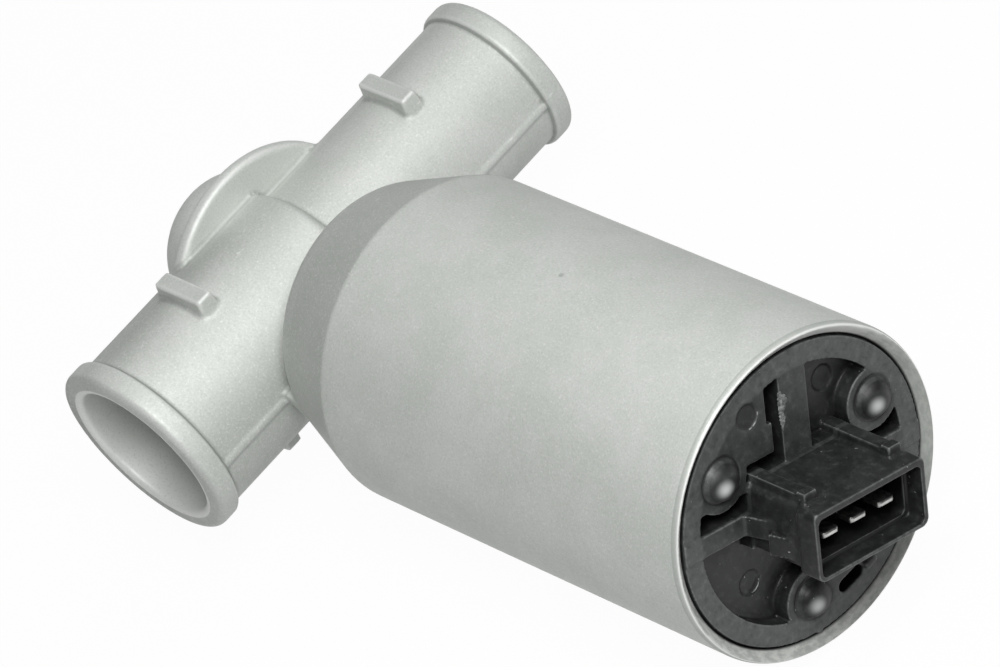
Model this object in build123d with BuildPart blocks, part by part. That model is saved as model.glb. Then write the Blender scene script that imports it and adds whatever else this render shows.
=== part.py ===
from build123d import *
import math
import os

# Idle air control valve of the rotary kind, with two windings and three pins.
# Millimetres. The motor axis is X and the duct axis is Y; they cross at the origin.
# The connector faces +X, the wide stub opens towards -Y and the narrow one towards +Y.

# Driving dimensions of the casting
rim_x = 99.5                # mouth of the canister
can_r = 23.25
can_wall = 1.85
core_r = 10.0               # metal round the valve chamber, inside the stubs
neck_x = 10.6               # foot of the steep cone behind the stubs
shoulder_x = 15.5           # where the steep cone meets the shallow one
shoulder_r = 18.2
shoulder_round = 6.0
barrel_x = 29.9             # where the shallow cone meets the canister
barrel_round = 0.8
nose_r = 11.0               # round boss that holds the rear bearing
nose_end = -21.5
nose_round = 6.5
flange_r = 17.4
flange_front = -6.6
flange_thick = 2.2
chamber_r = 9.0
chamber_back = -7.0
chamber_front = 9.0
chamber_gap = 0.25          # between the slide and its chamber
near_r = 13.7               # wide stub
near_bore = 11.2
near_end = 35.0
near_bead_r = 14.6
near_step = 3.0             # where the wide stub ends, past the motor axis
far_r = 11.7                # narrow stub
far_bore = 9.3
far_end = 43.0
far_bead_r = 12.5
bead_width = 3.6
bead_round = 0.6
bead_lip = 1.1              # rounding of the open ends
stub_floor = 11.0           # depth of both bores, from the motor axis
port_half = 5.3             # half width of the ports along X
inlet_port_height = 13.0
port_angle = 54.0           # angle of the metering port, seen from the motor axis
lug_height = 1.8
lug_length = 10.4
lug_width = 3.6
lug_round = 0.8
lug_draft = 6.0             # degrees
near_lug_y = 16.9
far_lug_y = 25.0
seam_width = 0.9            # raised parting line left by the die
seam_height = 0.35
gusset_thick = 2.2
gusset_reach = 18.1         # along Y, at the stub
gusset_end_x = 23.0         # and its end on the shoulder
gusset_end_y = 20.2

# Running and fixed fits
slip = 0.05                 # fixed pieces pushed into each other
running = 0.10              # turning pieces, on the radius
air = 0.40                  # turning pieces, end to end

# Motor
slide_angle = 66.0          # angle that the slide's wall covers
rest_angle = 22.0           # slide centre above the metering port at rest
close_angle = 22.0          # travel from rest to closed
open_angle = 38.0           # travel from rest to open
slide_wall = 1.4
slide_end = 6.6             # half length of the slide
slide_web = 1.2
shaft_r = 3.0
journal_r = 2.5
bearing_r = 8.0
bearing_width = 5.0
nose_bearing_x = -16.5
cap_bearing_x = 84.2
carrier_front = 13.0
carrier_flange_r = 12.0
carrier_flange_thick = 3.0
sleeve_x = 32.0
sleeve_end = 88.0
sleeve_wall = 1.5
magnet_x = 38.0
magnet_end = 68.0
magnet_thick = 3.5
magnet_angle = 132.0
core_x = 40.0
core_end = 66.0
air_gap = 0.6
slot_width = 6.0
slot_floor = 7.6
slot_mouth = 2.2
tooth_tip = 1.6
coil_thick = 2.8
coil_gap = 0.4
plate_thick = 0.8
drum_x = 74.0
drum_end = 82.0
drum_r = 8.0
segment_thick = 1.5
segment_gap = 6.0           # degrees between contact segments
brush_side = 4.4
brush_length = 5.0
strip_thick = 0.4
strip_width = 3.0

# Mouth of the canister
mouth_drop = 0.35           # from the canister down to the crest between the roll and the slope
mouth_roll = 0.65           # length of the outer roll
mouth_slope = 1.3           # depth of the inner slope
crimp = 0.2                 # metal closed over the cap's edge

# End cap and connector; heights (h) are measured from the mouth of the canister
clock = -22.9               # turn of the connector about X
recess = 0.85               # the cap's face lies below the mouth
face_r = 18.1               # inner edge of the cap's flat ring
cap_plate = 5.5
pocket_h = -3.5             # floor of the shallow pockets
deep_h = -5.0               # floor of the deep ones
skirt_depth = 9.0
skirt_wall = 2.75
hub_r = 11.0
hub_roof = 1.0              # plastic in front of the shaft's end
seal_width = 2.4
seal_depth = 1.55
dome_circle = 15.75
dome_angles = (30, 150, 270)
dome_r = 2.95
dome_height = 1.6
dome_ditch = 0.5            # width and depth of the groove round each dome
pad_r = 4.6
web_half = 2.4
slit_width = 2.6
slit_step = 0.9             # the slit's lower part is narrower by this
slit_step_v = 12.2
arm_half = 1.5              # webs beside the connector
arm_rise = 0.25             # above the ring
left_land_v = 4.3           # lower edge of the face's solid quarter, outside the pad
top_land_v = 8.0            # and beside the slit
oval_length = 4.6           # oval hole in the ring
oval_width = 1.9
oval_turn = 20.0
oval_r = 17.5
oval_angle = -67.0
mark_r = 1.9                # ejector pin marks
mark_depth = 0.3
ring_mark = (16.9, 119.0)   # radius and angle of the mark on the solid quarter
floor_marks = ((14.8, 59.5), (13.5, 232.0))
gate_r = 0.6
gate_height = 0.3
gate_inset = 0.65           # from the cap's edge in
gate_angle = 271.3
plug_length = 12.0
plug_half = 9.4
plug_top = 5.6
plug_bottom = -4.2
plug_round = 1.2
collar_length = 3.5
collar_half = 9.85
collar_top = 5.3
collar_bottom = -4.7
collar_round = 1.2
entry_depth = 3.1           # wide front part of the socket
entry_half = 9.2
entry_top = 4.3
entry_bottom = -4.15
socket_half = 8.5
socket_top = 3.9
socket_bottom = -3.6
socket_round = 0.9
socket_floor = -1.0
rail_inside = 6.45
rail_outside = 8.7
rail_top = 6.6
rail_end = 9.2
head_top = 7.0
head_length = 1.6
rib_out = 1.4               # ribs that run from the webs up the connector's sides
rib_end = 4.1
barb_out = 1.1              # catches for the plug's wire clip
barb_start = 3.4
barb_end = 7.2
barb_top = 0.0
barb_bottom = -3.0
pitch = 5.0
blade_width = 2.8
blade_thick = 0.8
blade_tip = 9.6
blade_level = -0.05         # height of the tips' middle plane in the socket
blade_taper = 0.4           # taken off each corner of the tip
blade_out = 15.6            # distance from the axis of the blades' inner ends
blade_inner = 84.0

# Worked-out sizes
can_bore = can_r - can_wall
cap_r = can_bore - slip
mouth_r = can_r - mouth_drop
gate_circle = cap_r - gate_inset
face_x = rim_x - recess
crimp_x = rim_x - mouth_slope
flange_back = flange_front - flange_thick
slide_r = chamber_r - chamber_gap
plate_x = rim_x - cap_plate
sleeve_r = can_bore - slip
magnet_r = sleeve_r - sleeve_wall - slip
armature_r = magnet_r - magnet_thick - air_gap
hub_bore = bearing_r + slip / 2
washer_x = cap_bearing_x + bearing_width
washer_room = 0.8
hub_floor = washer_x + washer_room
dome_centers = [
    (dome_circle * math.cos(math.radians(angle)), dome_circle * math.sin(math.radians(angle)))
    for angle in dome_angles
]


def axial(x):
    """Plane square to the motor axis, its own x along +Y."""
    return Plane.YZ.offset(x)


def capside(height):
    """Plane parallel to the cap's face, turned to the connector's own row."""
    turn = math.radians(clock)
    return Plane(
        origin=(rim_x + height, 0, 0),
        x_dir=(0, math.cos(turn), math.sin(turn)),
        z_dir=(1, 0, 0),
    )


def across(level):
    """Plane parallel to the connector's row, h along its own x and the row along its y."""
    turn = math.radians(clock)
    return Plane(
        origin=(rim_x, -level * math.sin(turn), level * math.cos(turn)),
        x_dir=(1, 0, 0),
        z_dir=(0, -math.sin(turn), math.cos(turn)),
    )


def turned(points):
    """Solid of revolution about the motor axis from (x, radius) corners."""
    with BuildPart() as piece:
        with BuildSketch(Plane.XY):
            with BuildLine():
                Polyline(*points, close=True)
            make_face()
        revolve(axis=Axis.X)
    return piece


def sleeve(start, end, outer, inner):
    """Plain ring about the motor axis."""
    return turned([(start, inner), (end, inner), (end, outer), (start, outer)])


def wedge(radius, middle, angle):
    """Pie slice in the current sketch, its middle line at an angle from local x."""
    low = math.radians(middle - angle / 2)
    high = math.radians(middle + angle / 2)
    mid = math.radians(middle)
    with BuildLine() as outline:
        Line((0, 0), (radius * math.cos(low), radius * math.sin(low)))
        ThreePointArc(
            (radius * math.cos(low), radius * math.sin(low)),
            (radius * math.cos(mid), radius * math.sin(mid)),
            (radius * math.cos(high), radius * math.sin(high)),
        )
        Line((radius * math.cos(high), radius * math.sin(high)), (0, 0))
    return outline.line


def near(sketch, x, y):
    """Corner of a sketch nearest to a point."""
    return sketch.vertices().sort_by_distance((x, y, 0))[0]


# Valve housing: one die casting
bead_start = near_end - bead_width
far_bead_start = far_end - bead_width
bore_flare = 0.5
inner_step = 1.8
well_r = 19.0
nose_relief = 1.0

with BuildPart() as valve_housing:
    with BuildSketch(Plane.XY) as outside:
        with BuildLine():
            Polyline(
                (nose_end, 0),
                (nose_end, nose_r),
                (flange_back, nose_r),
                (flange_back, flange_r),
                (flange_front, flange_r),
                (flange_front, core_r),
                (neck_x, core_r),
                (shoulder_x, shoulder_r),
                (barrel_x, can_r),
                (rim_x - mouth_roll, can_r),
                (rim_x, mouth_r),
                (rim_x, 0),
                close=True,
            )
        make_face()
        fillet(near(outside, nose_end, nose_r), nose_round)
        fillet(near(outside, flange_back, nose_r), nose_round / 3)
        fillet(near(outside, flange_back, flange_r), flange_thick / 3)
        fillet(near(outside, flange_front, flange_r), flange_thick / 3)
        fillet(near(outside, shoulder_x, shoulder_r), shoulder_round)
        fillet(near(outside, barrel_x, can_r), barrel_round)
    revolve(axis=Axis.X)

    with BuildSketch(Plane.XY) as near_stub:
        with BuildLine():
            Polyline(
                (0, near_step),
                (near_r, near_step),
                (near_r, -bead_start),
                (near_bead_r, -bead_start),
                (near_bead_r, -near_end),
                (0, -near_end),
                close=True,
            )
        make_face()
        fillet(near(near_stub, near_r, near_step), near_step / 2)
        fillet(near(near_stub, near_bead_r, -bead_start), bead_round)
        fillet(near(near_stub, near_bead_r, -near_end), bead_lip)
    revolve(axis=Axis.Y)

    with BuildSketch(Plane.XY) as far_stub:
        with BuildLine():
            Polyline(
                (0, 0),
                (far_r, 0),
                (far_r, far_bead_start),
                (far_bead_r, far_bead_start),
                (far_bead_r, far_end),
                (0, far_end),
                close=True,
            )
        make_face()
        fillet(near(far_stub, far_bead_r, far_bead_start), bead_round)
        fillet(near(far_stub, far_bead_r, far_end), bead_lip)
    revolve(axis=Axis.Y)

    # hose stops: a bar above and below each stub
    for side in (1, -1):
        for radius, place in ((near_r, -near_lug_y), (far_r, far_lug_y)):
            root = radius - 3 * lug_height / 2
            with BuildSketch(Plane.XY.offset(side * root)):
                with Locations((0, place)):
                    RectangleRounded(lug_length, lug_width, lug_round)
            extrude(amount=side * (radius + lug_height - root), taper=lug_draft)

    # parting line left by the die, on both sides of each stub
    with BuildSketch(Plane.XY.offset(-seam_width / 2)):
        for side in (1, -1):
            with Locations((side * (near_r - seam_height), -bead_start / 2)):
                Rectangle(4 * seam_height, bead_start)
            with Locations((side * (far_r - seam_height), far_bead_start / 2)):
                Rectangle(4 * seam_height, far_bead_start)
    extrude(amount=seam_width)

    # gusset in the notch between the wide stub and the shoulder
    with BuildSketch(Plane.XY.offset(-gusset_thick / 2)):
        with BuildLine():
            Polyline(
                (core_r, -core_r),
                (near_r - seam_height, -gusset_reach),
                (gusset_end_x, -gusset_end_y),
                (gusset_end_x, -core_r),
                close=True,
            )
        make_face()
    extrude(amount=gusset_thick)

    # inside of the motor: canister bore, sleeve seat and the cone behind it
    with BuildSketch(Plane.XY) as motor_room:
        with BuildLine():
            Polyline(
                (chamber_back, 0),
                (chamber_back, chamber_r),
                (carrier_front, chamber_r),
                (carrier_front, carrier_flange_r),
                (carrier_front + carrier_flange_thick, carrier_flange_r),
                (well_r + carrier_flange_thick, well_r - inner_step / 2),
                (sleeve_x - 2 * carrier_flange_thick, well_r),
                (sleeve_x, well_r),
                (sleeve_x, can_bore),
                (crimp_x - crimp, can_bore),
                (crimp_x, can_bore - crimp),
                (rim_x, mouth_r - slip),
                (rim_x, 0),
                close=True,
            )
        make_face()
    revolve(axis=Axis.X, mode=Mode.SUBTRACT)

    # rear bearing seat, with relief for the shaft's end
    with BuildSketch(Plane.XY):
        with BuildLine():
            Polyline(
                (nose_bearing_x - nose_relief, 0),
                (nose_bearing_x - nose_relief, bearing_r - inner_step),
                (nose_bearing_x, bearing_r - inner_step),
                (nose_bearing_x, hub_bore),
                (chamber_back, hub_bore),
                (chamber_back, 0),
                close=True,
            )
        make_face()
    revolve(axis=Axis.X, mode=Mode.SUBTRACT)

    # stub bores
    with BuildSketch(Plane.XY) as near_hole:
        with BuildLine():
            Polyline(
                (0, -stub_floor),
                (near_bore - inner_step, -stub_floor),
                (near_bore, -stub_floor - inner_step),
                (near_bore, -near_end + bore_flare),
                (near_bore + bore_flare, -near_end),
                (0, -near_end),
                close=True,
            )
        make_face()
    revolve(axis=Axis.Y, mode=Mode.SUBTRACT)
    with BuildSketch(Plane.XY) as far_hole:
        with BuildLine():
            Polyline(
                (0, stub_floor),
                (far_bore - inner_step, stub_floor),
                (far_bore, stub_floor + inner_step),
                (far_bore, far_end - bore_flare),
                (far_bore + bore_flare, far_end),
                (0, far_end),
                close=True,
            )
        make_face()
    revolve(axis=Axis.Y, mode=Mode.SUBTRACT)

    # inlet port, and the metering port that the slide covers
    port_height = 2 * chamber_r * math.sin(math.radians(port_angle / 2))
    with BuildSketch(Plane.XZ):
        Rectangle(2 * port_half, inlet_port_height)
    extrude(amount=stub_floor, mode=Mode.SUBTRACT)
    with BuildSketch(Plane.XZ):
        Rectangle(2 * port_half, port_height)
    extrude(amount=-stub_floor, mode=Mode.SUBTRACT)


# Terminal blades: flat tips in a row, bent outwards behind the cap and back to the brushes
blade_root = blade_inner - rim_x
bend_x = plate_x - blade_thick - rim_x


def blade(offset, direction):
    """One blade; its inner run goes out along +-u or down from the row."""
    with BuildPart() as piece:
        with BuildSketch(capside(bend_x)) as tip:
            with Locations((offset, blade_level)):
                Rectangle(blade_width, blade_thick)
        extrude(amount=blade_tip - bend_x)
        corners = piece.faces().sort_by(Axis.X)[-1].edges().sort_by(SortBy.LENGTH)[:2]
        chamfer(corners, blade_taper)
        chamfer(piece.faces().sort_by(Axis.X)[-1].edges().sort_by(SortBy.LENGTH)[-2:], blade_thick / 4)
        if direction == 0:
            reach = blade_out + blade_level
            with BuildSketch(capside(bend_x)):
                with Locations((offset, blade_level + blade_thick / 2 - reach / 2)):
                    Rectangle(blade_width, reach)
            extrude(amount=blade_thick)
            with BuildSketch(capside(blade_root)):
                with Locations((offset, -blade_out + blade_thick)):
                    Rectangle(blade_width, blade_thick)
            extrude(amount=bend_x - blade_root)
        else:
            reach = blade_out - pitch + blade_width / 2
            middle = direction * (blade_out - reach / 2)
            with BuildSketch(capside(bend_x)):
                with Locations((middle, 0)):
                    Rectangle(reach, blade_width)
            extrude(amount=blade_thick)
            with BuildSketch(capside(blade_root)):
                with Locations((direction * (blade_out - blade_thick / 2), 0)):
                    Rectangle(blade_thick, blade_width)
            extrude(amount=bend_x - blade_root)
    return piece


terminal_blade_left = blade(-pitch, -1)
terminal_blade_middle = blade(0, 0)
terminal_blade_right = blade(pitch, 1)
blades = [terminal_blade_left, terminal_blade_middle, terminal_blade_right]


# End cap: one moulding with the connector's shroud
groove_x = plate_x - seal_width / 4
groove_r = cap_r - seal_depth
rowside = Plane(origin=(rim_x, 0, 0), x_dir=(1, 0, 0), z_dir=-capside(0).x_dir)
dome_ball = (dome_r**2 + dome_height**2) / (2 * dome_height)
dome_turn = math.asin(dome_r / dome_ball) / 2
dome_bow = dome_ball * (1 - math.cos(dome_turn))
dome_shoulder = dome_ball * math.sin(dome_turn)
collar_h = plug_length - collar_length


def at(radius, angle):
    """Location in a sketch on the cap, from a radius and an angle."""
    turn = math.radians(angle)
    return Location((radius * math.cos(turn), radius * math.sin(turn)))


def block(u_low, u_high, v_low, v_high, mode=Mode.ADD):
    """Rectangle in a sketch on the cap, from its four edges."""
    with Locations(((u_low + u_high) / 2, (v_low + v_high) / 2)):
        return Rectangle(u_high - u_low, v_high - v_low, mode=mode)


def shroud(half, low, high, radius):
    """Rounded rectangle in a sketch on the cap, from its edges."""
    with Locations((0, (low + high) / 2)):
        return RectangleRounded(2 * half, high - low, radius)


with BuildPart() as end_cap:
    with BuildSketch(Plane.XY):
        with BuildLine():
            Polyline(
                (cap_bearing_x, hub_bore),
                (hub_floor, hub_bore),
                (hub_floor, journal_r + inner_step),
                (hub_floor + hub_roof, journal_r + inner_step),
                (hub_floor + hub_roof, 0),
                (face_x, 0),
                (face_x, cap_r - crimp),
                (crimp_x, cap_r - crimp),
                (crimp_x - crimp, cap_r),
                (groove_x + seal_width, cap_r),
                (groove_x + seal_width, groove_r),
                (groove_x, groove_r),
                (groove_x, cap_r),
                (rim_x - skirt_depth, cap_r),
                (rim_x - skirt_depth, cap_r - skirt_wall),
                (plate_x, cap_r - skirt_wall),
                (plate_x, hub_r),
                (cap_bearing_x, hub_r),
                close=True,
            )
        make_face()
    revolve(axis=Axis.X)

    # shallow pockets in the face, between the ring, the webs, the pads and the connector
    with BuildSketch(capside(pocket_h)):
        Circle(face_r)
        block(-face_r, -plug_half, left_land_v, face_r, Mode.SUBTRACT)
        block(-face_r, -web_half - slit_width, top_land_v, face_r, Mode.SUBTRACT)
        block(-face_r, -web_half - slit_width + slit_step, top_land_v, slit_step_v, Mode.SUBTRACT)
        block(0, face_r, -face_r, -arm_half, Mode.SUBTRACT)
        block(-web_half, web_half, 0, face_r, Mode.SUBTRACT)
        block(-face_r, face_r, -arm_half, arm_half, Mode.SUBTRACT)
        block(-plug_half, plug_half, plug_bottom, plug_top, Mode.SUBTRACT)
        with Locations(*dome_centers):
            Circle(pad_r, mode=Mode.SUBTRACT)
    extrude(amount=-recess - pocket_h, mode=Mode.SUBTRACT)

    # deep ones: under the left pad, beside the top web and below the connector
    with BuildSketch(capside(deep_h)):
        block(-face_r, -plug_half, arm_half, left_land_v)
        block(-plug_half, -web_half, plug_top, top_land_v)
        block(-web_half - slit_width, -web_half, slit_step_v, face_r)
        block(-web_half - slit_width + slit_step, -web_half, plug_top, slit_step_v)
        Circle(face_r, mode=Mode.INTERSECT)
        with Locations(*dome_centers):
            Circle(pad_r, mode=Mode.SUBTRACT)
        with Locations(at(oval_r, oval_angle)):
            SlotOverall(oval_length, oval_width, rotation=oval_turn)
    extrude(amount=-recess - deep_h, mode=Mode.SUBTRACT)

    # ejector pin marks
    for height, places in ((-recess, (ring_mark,)), (pocket_h, floor_marks)):
        with BuildSketch(capside(height - mark_depth)):
            with Locations(*[at(*place) for place in places]):
                Circle(mark_r)
        extrude(amount=mark_depth, mode=Mode.SUBTRACT)

    # gate mark on the ring
    with BuildSketch(capside(-recess)):
        with Locations(at(gate_circle, gate_angle)):
            Circle(gate_r)
    extrude(amount=gate_height)

    # webs beside the connector, raised across the ring as well
    with BuildSketch(capside(-recess)):
        block(-cap_r, cap_r, -arm_half, arm_half)
        Circle(cap_r - crimp, mode=Mode.INTERSECT)
    extrude(amount=arm_rise)

    # blind domes, each in a narrow ditch
    with BuildSketch(capside(-recess - dome_ditch)):
        with Locations(*dome_centers):
            Circle(dome_r + dome_ditch)
    extrude(amount=dome_height, mode=Mode.SUBTRACT)
    for u, v in dome_centers:
        foot = capside(-recess - 2 * dome_ditch).from_local_coords((u, v, 0))
        rise = 2 * dome_ditch + dome_height
        with BuildSketch(Plane(origin=foot, x_dir=(1, 0, 0), z_dir=rowside.z_dir)):
            with BuildLine():
                Polyline((2 * dome_ditch, dome_r), (0, dome_r), (0, 0), (rise, 0))
                ThreePointArc((rise, 0), (rise - dome_bow, dome_shoulder), (2 * dome_ditch, dome_r))
            make_face()
        revolve(axis=Axis(foot, (1, 0, 0)))

    # connector: body, collar with its leaning top, ribs, rails and catches
    with BuildSketch(capside(pocket_h)):
        shroud(plug_half, plug_bottom, plug_top, plug_round)
    extrude(amount=collar_h - pocket_h)
    with BuildSketch(capside(collar_h)):
        shroud(collar_half, collar_bottom, plug_top, collar_round)
    extrude(amount=collar_length)
    with BuildSketch(rowside):
        with BuildLine():
            Polyline(
                (collar_h, plug_top),
                (plug_length, collar_top),
                (plug_length, head_top),
                (collar_h, head_top),
                close=True,
            )
        make_face()
    extrude(amount=collar_half, both=True, mode=Mode.SUBTRACT)
    for side in (1, -1):
        with BuildSketch(across(-arm_half)):
            with BuildLine():
                Polyline(
                    (pocket_h, side * plug_half),
                    (pocket_h, side * (plug_half + rib_out)),
                    (-recess, side * (plug_half + rib_out)),
                    (rib_end, side * plug_half),
                    close=True,
                )
            make_face()
        extrude(amount=2 * arm_half)
        with BuildSketch(across(barb_bottom)):
            with BuildLine():
                Polyline(
                    (barb_start, side * plug_half),
                    (barb_start, side * (plug_half + barb_out)),
                    (barb_end, side * plug_half),
                    close=True,
                )
            make_face()
        extrude(amount=barb_top - barb_bottom)
        rail_low, rail_high = sorted((side * rail_inside, side * rail_outside))
        with BuildSketch(capside(pocket_h)):
            block(rail_low, rail_high, plug_top - plug_round, rail_top)
        extrude(amount=rail_end - pocket_h)
        with BuildSketch(capside(rail_end - head_length)):
            block(rail_low, rail_high, plug_top - plug_round, head_top)
        extrude(amount=head_length)

    # socket: a wide entry and the room of the blades behind it
    with BuildSketch(capside(plug_length - entry_depth)):
        shroud(entry_half, entry_bottom, entry_top, socket_round)
    extrude(amount=entry_depth, mode=Mode.SUBTRACT)
    with BuildSketch(capside(socket_floor)):
        shroud(socket_half, socket_bottom, socket_top, socket_round)
    extrude(amount=plug_length - socket_floor, mode=Mode.SUBTRACT)
    for piece in blades:
        add(piece.part, mode=Mode.SUBTRACT)


# Cap seal: a rubber ring in the cap's groove
seal_gap = 0.1
cap_seal = sleeve(groove_x + seal_gap, groove_x + seal_width - seal_gap, can_bore, groove_r)


# Flux sleeve, magnets and the springs that spread them
flux_sleeve = sleeve(sleeve_x, sleeve_end, sleeve_r, sleeve_r - sleeve_wall)


def magnet(middle):
    """Curved magnet segment."""
    with BuildPart() as piece:
        with BuildSketch(axial(magnet_x)):
            make_face(wedge(magnet_r, middle, magnet_angle).edges())
            Circle(magnet_r - magnet_thick, mode=Mode.SUBTRACT)
        extrude(amount=magnet_end - magnet_x)
    return piece


magnet_upper = magnet(90)
magnet_lower = magnet(-90)

spring_inset = 2.0
spring_play = 1.0           # degrees
spring_half = 90 - magnet_angle / 2 - spring_play
with BuildPart() as magnet_springs:
    for side in (0, 180):
        low = math.radians(side - spring_half)
        high = math.radians(side + spring_half)
        mid = math.radians(side)
        middle_r = magnet_r - strip_thick
        tip_r = magnet_r - magnet_thick + strip_thick
        strip = []
        for r, turn in ((tip_r, low), (middle_r, mid), (tip_r, high)):
            strip.append((r * math.cos(turn), r * math.sin(turn)))
        for r, turn in ((tip_r, high), (middle_r - strip_thick / 2, mid), (tip_r, low)):
            strip.append(((r - strip_thick) * math.cos(turn), (r - strip_thick) * math.sin(turn)))
        with BuildSketch(axial(magnet_x + spring_inset)):
            with BuildLine():
                Polyline(*strip, close=True)
            make_face()
        extrude(amount=magnet_end - magnet_x - 2 * spring_inset)


# Ball bearings, one in the nose and one in the cap
ball_r = 1.45
race_middle = (journal_r + bearing_r) / 2
race_gap = 0.1
land = 1.05
ball_count = 7
cage_half = 1.7             # half the cage's length
cage_gap = 0.4


def race(start, outer, inner):
    """Bearing ring with its ball groove cut by a torus."""
    with BuildPart() as piece:
        with BuildSketch(axial(start)):
            Circle(outer)
            Circle(inner, mode=Mode.SUBTRACT)
        extrude(amount=bearing_width)
        with BuildSketch(Plane.XY):
            with Locations((start + bearing_width / 2, race_middle)):
                Circle(ball_r + race_gap)
        revolve(axis=Axis.X, mode=Mode.SUBTRACT)
    return piece


def balls(start):
    """Seven balls on the pitch circle."""
    with BuildPart() as piece:
        for index in range(ball_count):
            turn = math.radians(index * 360 / ball_count)
            with Locations((
                start + bearing_width / 2,
                race_middle * math.cos(turn),
                race_middle * math.sin(turn),
            )):
                Sphere(ball_r)
    return piece


def cage(start):
    """Ring with a round pocket for each ball."""
    with BuildPart() as piece:
        with BuildSketch(axial(start + bearing_width / 2 - cage_half)):
            Circle(race_middle + land - cage_gap)
            Circle(race_middle - land + cage_gap, mode=Mode.SUBTRACT)
        extrude(amount=2 * cage_half)
        for index in range(ball_count):
            turn = math.radians(index * 360 / ball_count)
            way = (0, math.cos(turn), math.sin(turn))
            with BuildSketch(Plane(origin=(start + bearing_width / 2, 0, 0), x_dir=(1, 0, 0), z_dir=way)):
                Circle(ball_r + race_gap)
            extrude(amount=bearing_r, mode=Mode.SUBTRACT)
    return piece


nose_bearing_outer = race(nose_bearing_x, bearing_r, race_middle + land)
nose_bearing_inner = race(nose_bearing_x, race_middle - land, journal_r + slip / 5)
nose_bearing_balls = balls(nose_bearing_x)
nose_bearing_cage = cage(nose_bearing_x)
cap_bearing_outer = race(cap_bearing_x, bearing_r, race_middle + land)
cap_bearing_inner = race(cap_bearing_x, race_middle - land, journal_r + slip / 5)
cap_bearing_balls = balls(cap_bearing_x)
cap_bearing_cage = cage(cap_bearing_x)

# Preload washer: a shallow spring cone behind the cap bearing
washer_r = race_middle + land + air
preload_washer = turned([
    (washer_x, bearing_r - running),
    (washer_x + strip_thick, bearing_r - running),
    (hub_floor, washer_r),
    (hub_floor - strip_thick, washer_r),
])

# Shield in front of the nose bearing, and the carrier that closes the chamber
shield_thick = 0.6
bearing_shield = sleeve(
    nose_bearing_x + bearing_width,
    nose_bearing_x + bearing_width + shield_thick,
    bearing_r,
    shaft_r + air,
)
seal_r = 6.4
seal_wall = 1.2
seal_lip = 0.8
seal_length = 4.2
seal_x = chamber_front + seal_wall
stop_pin_r = 1.25
stop_pin_past = 1.0         # past the stop sector
stop_circle = 10.0
stop_x = 19.0
stop_thick = 2.0
sector_rim = 2.5
sector_side = 25.0          # degrees on each side of the notch
sector_hub = 2.0
notch_play = 1.0            # degrees past each end of the travel
with BuildPart() as seal_carrier:
    with BuildSketch(Plane.XY):
        with BuildLine():
            Polyline(
                (chamber_front, shaft_r + air),
                (seal_x, shaft_r + air),
                (seal_x, seal_r),
                (carrier_front + carrier_flange_thick, seal_r),
                (carrier_front + carrier_flange_thick, carrier_flange_r - slip),
                (carrier_front, carrier_flange_r - slip),
                (carrier_front, chamber_r - slip),
                (chamber_front, chamber_r - slip),
                close=True,
            )
        make_face()
    revolve(axis=Axis.X)
    with BuildSketch(axial(carrier_front)):
        with Locations((0, -stop_circle)):
            Circle(stop_pin_r)
    extrude(amount=carrier_flange_thick, mode=Mode.SUBTRACT)

shaft_seal = turned([
    (seal_x, shaft_r + running / 2),
    (seal_x + seal_lip, shaft_r + running / 2),
    (seal_x + 2 * seal_lip, shaft_r + seal_wall),
    (seal_x + seal_length, shaft_r + seal_wall),
    (seal_x + seal_length, seal_r),
    (seal_x, seal_r),
])

with BuildPart() as stop_pin:
    with BuildSketch(axial(carrier_front)):
        with Locations((0, -stop_circle)):
            Circle(stop_pin_r)
    extrude(amount=stop_x + stop_thick + stop_pin_past - carrier_front)
    chamfer(stop_pin.edges().sort_by(Axis.X)[-1], stop_pin_r / 4)

# Stop sector on the shaft: its notch takes the stop pin
pin_half = math.degrees(math.asin((stop_pin_r + running) / stop_circle))
notch_angle = close_angle + open_angle + 2 * (pin_half + notch_play)
notch_middle = -90 + (close_angle - open_angle) / 2
with BuildPart() as stop_sector:
    with BuildSketch(axial(stop_x)):
        make_face(wedge(stop_circle + sector_rim, notch_middle, notch_angle + 2 * sector_side).edges())
    extrude(amount=stop_thick)
    with BuildSketch(axial(stop_x)):
        make_face(wedge(stop_circle + 2 * sector_rim, notch_middle, notch_angle).edges())
        Circle(stop_circle - stop_pin_r - air, mode=Mode.SUBTRACT)
    extrude(amount=stop_thick, mode=Mode.SUBTRACT)
    with BuildSketch(axial(stop_x - stop_thick / 2)):
        Circle(shaft_r + sector_hub)
    extrude(amount=2 * stop_thick)
    with BuildSketch(axial(stop_x - stop_thick / 2)):
        Circle(shaft_r)
    extrude(amount=2 * stop_thick, mode=Mode.SUBTRACT)

# Rotor shaft, with a groove for the slide's clip
clip_x = slide_end + slip
clip_thick = 0.6
clip_width = 1.4
groove_sink = 0.4
shaft_past = 0.5            # shaft's ends, past the bearings
shaft_edge = 0.3
rotor_shaft = turned([
    (nose_bearing_x - shaft_past, 0),
    (nose_bearing_x - shaft_past, journal_r - shaft_edge),
    (nose_bearing_x - shaft_past + shaft_edge, journal_r),
    (nose_bearing_x + bearing_width, journal_r),
    (nose_bearing_x + bearing_width, shaft_r),
    (clip_x, shaft_r),
    (clip_x, shaft_r - groove_sink),
    (clip_x + clip_thick, shaft_r - groove_sink),
    (clip_x + clip_thick, shaft_r),
    (cap_bearing_x, shaft_r),
    (cap_bearing_x, journal_r),
    (washer_x + shaft_past - shaft_edge, journal_r),
    (washer_x + shaft_past, journal_r - shaft_edge),
    (washer_x + shaft_past, 0),
])

with BuildPart() as slide_clip:
    with BuildSketch(axial(clip_x)):
        Circle(shaft_r + clip_width)
        Circle(shaft_r - groove_sink, mode=Mode.SUBTRACT)
        with Locations((0, -shaft_r - clip_width)):
            Rectangle(shaft_r, 2 * shaft_r, mode=Mode.SUBTRACT)
    extrude(amount=clip_thick)

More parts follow.
